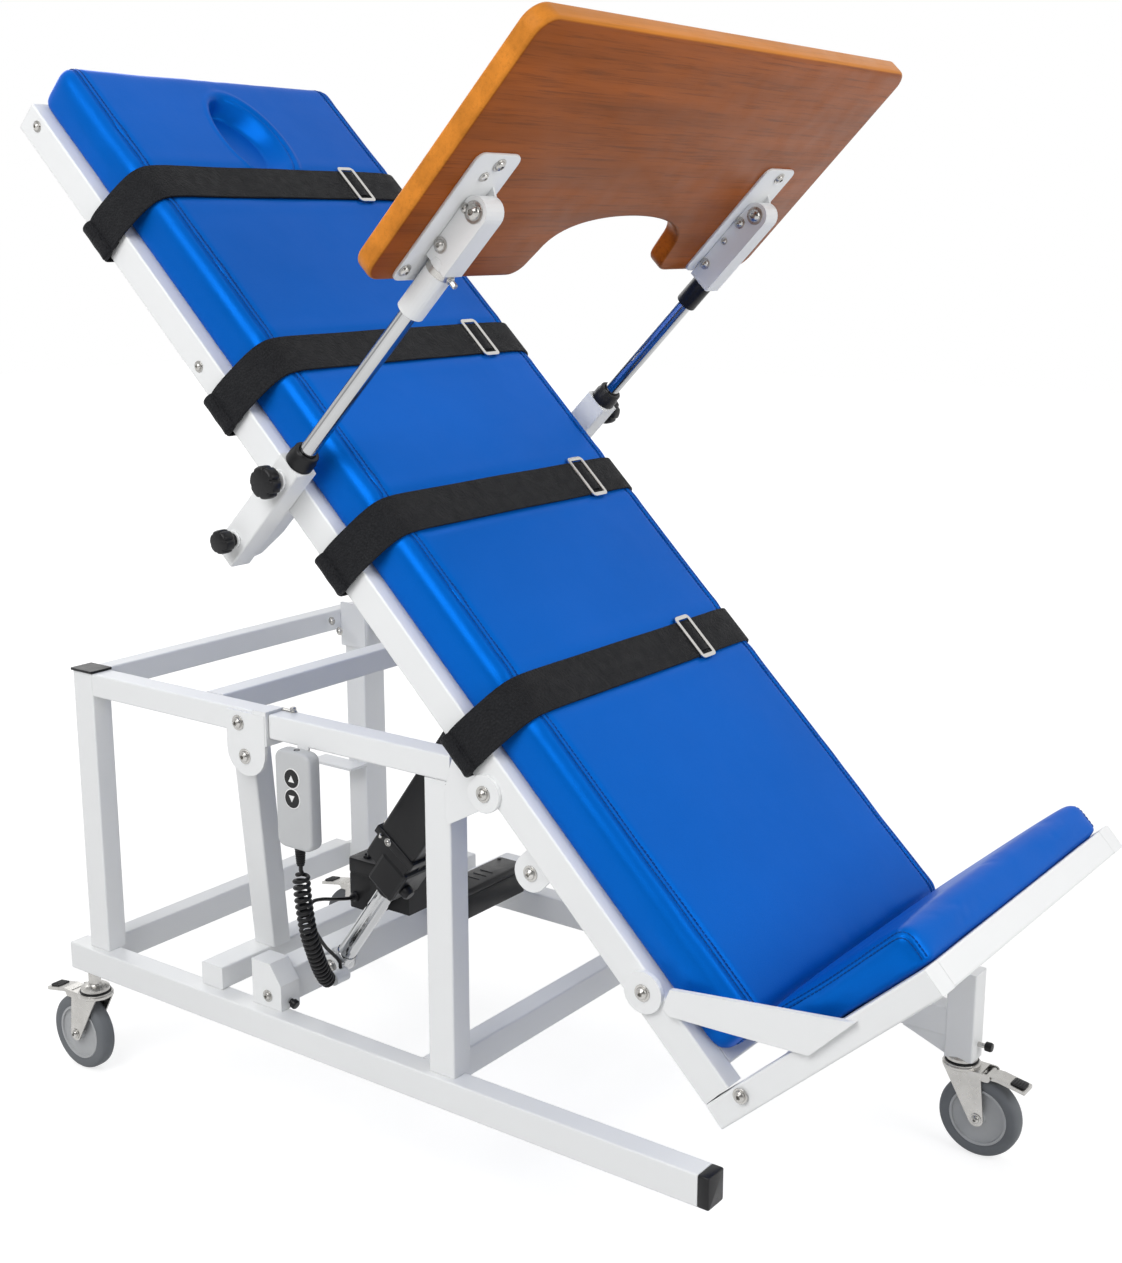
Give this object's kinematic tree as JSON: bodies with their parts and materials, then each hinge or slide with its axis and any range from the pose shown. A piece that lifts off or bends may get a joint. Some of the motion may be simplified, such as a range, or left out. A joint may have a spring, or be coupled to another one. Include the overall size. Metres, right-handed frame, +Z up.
{
  "type": "electric tilt table",
  "caption": "Motorised tilt table with a blue mattress, a footplate, holding straps, a height-adjustable wooden desk and a handset on a curly cord.",
  "frame": {"origin": "on the floor, under the middle of the outline seen from above", "axes": "+X from the head end to the foot end, +Y from the handset's side to the other side, +Z up"},
  "size_m": [1.7608, 0.948, 1.7567],
  "materials": {
    "white_powder_coat": "satin",
    "black_plastic": "satin",
    "blue_vinyl": "satin vinyl over foam",
    "black_webbing": "woven",
    "stained_wood": "satin lacquer",
    "polished_chrome": "polished",
    "zinc_plated_steel": "brushed",
    "grey_rubber": "matte",
    "light_grey_plastic": "matte"
  },
  "bodies": {
    "base": {"near_base_rail": "white_powder_coat", "near_rail_cap": "black_plastic", "far_base_rail": "white_powder_coat", "near_head_post": "white_powder_coat", "near_foot_post": "white_powder_coat", "far_head_post": "white_powder_coat", "far_foot_post": "white_powder_coat", "near_top_rail_head": "white_powder_coat", "near_top_rail_foot": "white_powder_coat", "far_top_rail": "white_powder_coat", "upper_head_crossbar": "white_powder_coat", "upper_mid_crossbar": "white_powder_coat", "lower_head_crossbar": "white_powder_coat", "lower_foot_crossbar": "white_powder_coat", "strut_crossbar": "white_powder_coat", "slanted_strut": "white_powder_coat", "actuator_crossbar": "white_powder_coat", "control_box": "black_plastic", "handset_body": "light_grey_plastic", "curly_cord": "black_plastic", "motor_lead": "black_plastic"},
    "table": {"near_side_rail": "white_powder_coat", "far_side_rail": "white_powder_coat", "head_cross_member": "white_powder_coat", "actuator_cross_member": "white_powder_coat", "foot_cross_member": "white_powder_coat", "mattress": "blue_vinyl", "strap_1": "black_webbing", "strap_2": "black_webbing", "strap_3": "black_webbing", "strap_4": "black_webbing", "near_foot_arm": "white_powder_coat", "far_foot_arm": "white_powder_coat", "foot_board": "white_powder_coat", "footplate_cushion": "blue_vinyl", "near_foot_brace": "white_powder_coat", "near_desk_bracket": "white_powder_coat", "far_desk_bracket": "white_powder_coat"},
    "desk_posts": {"near_desk_post": "polished_chrome", "far_desk_post": "polished_chrome", "near_hinge_channel": "white_powder_coat", "far_hinge_channel": "white_powder_coat"},
    "desk": {"desk_board": "stained_wood"},
    "actuator_rod": {"actuator_rod": "polished_chrome"},
    "actuator_body": {"actuator_body": "black_plastic", "motor_box": "black_plastic"},
    "near_upper_knob": {"near_upper_knob": "black_plastic"},
    "near_lower_knob": {"near_lower_knob": "black_plastic"},
    "far_upper_knob": {"far_upper_knob": "black_plastic"},
    "up_button": {"up_button": "black_plastic"},
    "down_button": {"down_button": "black_plastic"},
    "near_head_caster": {"near_head_caster_fork": "zinc_plated_steel"},
    "near_head_caster_wheel": {"near_head_caster_wheel": "grey_rubber"},
    "near_head_caster_pedal": {"near_head_caster_brake_pedal": "zinc_plated_steel"},
    "far_head_caster": {"far_head_caster_fork": "zinc_plated_steel"},
    "far_head_caster_wheel": {"far_head_caster_wheel": "grey_rubber"},
    "far_head_caster_pedal": {"far_head_caster_brake_pedal": "zinc_plated_steel"},
    "far_foot_caster": {"far_foot_caster_fork": "zinc_plated_steel"},
    "far_foot_caster_wheel": {"far_foot_caster_wheel": "grey_rubber"},
    "far_foot_caster_pedal": {"far_foot_caster_brake_pedal": "zinc_plated_steel"}
  },
  "joints": [
    {"name": "table_tilt", "type": "hinge", "parent": "base", "child": "table", "pos_m": [0.19474, -0.04, 0.7388], "axis": [0, 1, 0], "range_deg": [-41.6, 30.4]},
    {"name": "actuator_swing", "type": "hinge", "parent": "base", "child": "actuator_rod", "pos_m": [-0.27036, -0.171, 0.3], "axis": [0, -1, 0], "range_deg": [-3.5, 3.5]},
    {"name": "actuator_stroke", "type": "slide", "parent": "actuator_rod", "child": "actuator_body", "axis": [0.5853, 0, 0.8108], "range_m": [-0.085, 0.065]},
    {"name": "desk_height", "type": "slide", "parent": "table", "child": "desk_posts", "axis": [0.7021, 0, 0.712], "range_m": [-0.1, 0.06]},
    {"name": "desk_tilt", "type": "hinge", "parent": "desk_posts", "child": "desk", "pos_m": [0.21615, -0.0225, 1.52103], "axis": [0, 1, 0], "range_deg": [0, 80]},
    {"name": "near_upper_knob_turn", "type": "hinge", "parent": "table", "child": "near_upper_knob", "pos_m": [-0.14897, -0.414, 1.15078], "axis": [0, 1, 0], "continuous": true},
    {"name": "near_lower_knob_turn", "type": "hinge", "parent": "table", "child": "near_lower_knob", "pos_m": [-0.24306, -0.414, 1.05536], "axis": [0, 1, 0], "continuous": true},
    {"name": "far_upper_knob_turn", "type": "hinge", "parent": "table", "child": "far_upper_knob", "pos_m": [-0.10965, 0.369, 1.19065], "axis": [0, 1, 0], "continuous": true},
    {"name": "near_head_caster_swivel", "type": "hinge", "parent": "base", "child": "near_head_caster", "pos_m": [-0.76436, -0.296, 0.16], "axis": [0, 0, 1], "continuous": true},
    {"name": "near_head_caster_wheel_spin", "type": "hinge", "parent": "near_head_caster", "child": "near_head_caster_wheel", "pos_m": [-0.80236, -0.296, 0.07], "axis": [0, 1, 0], "continuous": true},
    {"name": "near_head_caster_pedal_press", "type": "hinge", "parent": "near_head_caster", "child": "near_head_caster_pedal", "pos_m": [-0.81636, -0.296, 0.1465], "axis": [0, -1, 0], "range_deg": [0, 8]},
    {"name": "far_head_caster_swivel", "type": "hinge", "parent": "base", "child": "far_head_caster", "pos_m": [-0.72436, 0.384, 0.16], "axis": [0, 0, 1], "continuous": true},
    {"name": "far_head_caster_wheel_spin", "type": "hinge", "parent": "far_head_caster", "child": "far_head_caster_wheel", "pos_m": [-0.76236, 0.384, 0.07], "axis": [0, 1, 0], "continuous": true},
    {"name": "far_head_caster_pedal_press", "type": "hinge", "parent": "far_head_caster", "child": "far_head_caster_pedal", "pos_m": [-0.77636, 0.384, 0.1465], "axis": [0, -1, 0], "range_deg": [0, 8]},
    {"name": "far_foot_caster_swivel", "type": "hinge", "parent": "base", "child": "far_foot_caster", "pos_m": [0.60864, 0.384, 0.16], "axis": [0, 0, 1], "continuous": true},
    {"name": "far_foot_caster_wheel_spin", "type": "hinge", "parent": "far_foot_caster", "child": "far_foot_caster_wheel", "pos_m": [0.64664, 0.384, 0.07], "axis": [0, 1, 0], "continuous": true},
    {"name": "far_foot_caster_pedal_press", "type": "hinge", "parent": "far_foot_caster", "child": "far_foot_caster_pedal", "pos_m": [0.66064, 0.384, 0.1465], "axis": [0, 1, 0], "range_deg": [0, 8]},
    {"name": "up_button_press", "type": "slide", "parent": "base", "child": "up_button", "axis": [0, 1, 0], "range_m": [0, 0.0015], "stiffness_N_per_m": 300, "springref_m": -0.0005},
    {"name": "down_button_press", "type": "slide", "parent": "base", "child": "down_button", "axis": [0, 1, 0], "range_m": [0, 0.0015], "stiffness_N_per_m": 300, "springref_m": -0.0005}
  ],
  "couplings": [
    {"joint": "actuator_swing", "follows": "table_tilt", "ratio": 0.07},
    {"joint": "actuator_stroke", "follows": "table_tilt", "m_per_rad": 0.107}
  ]
}
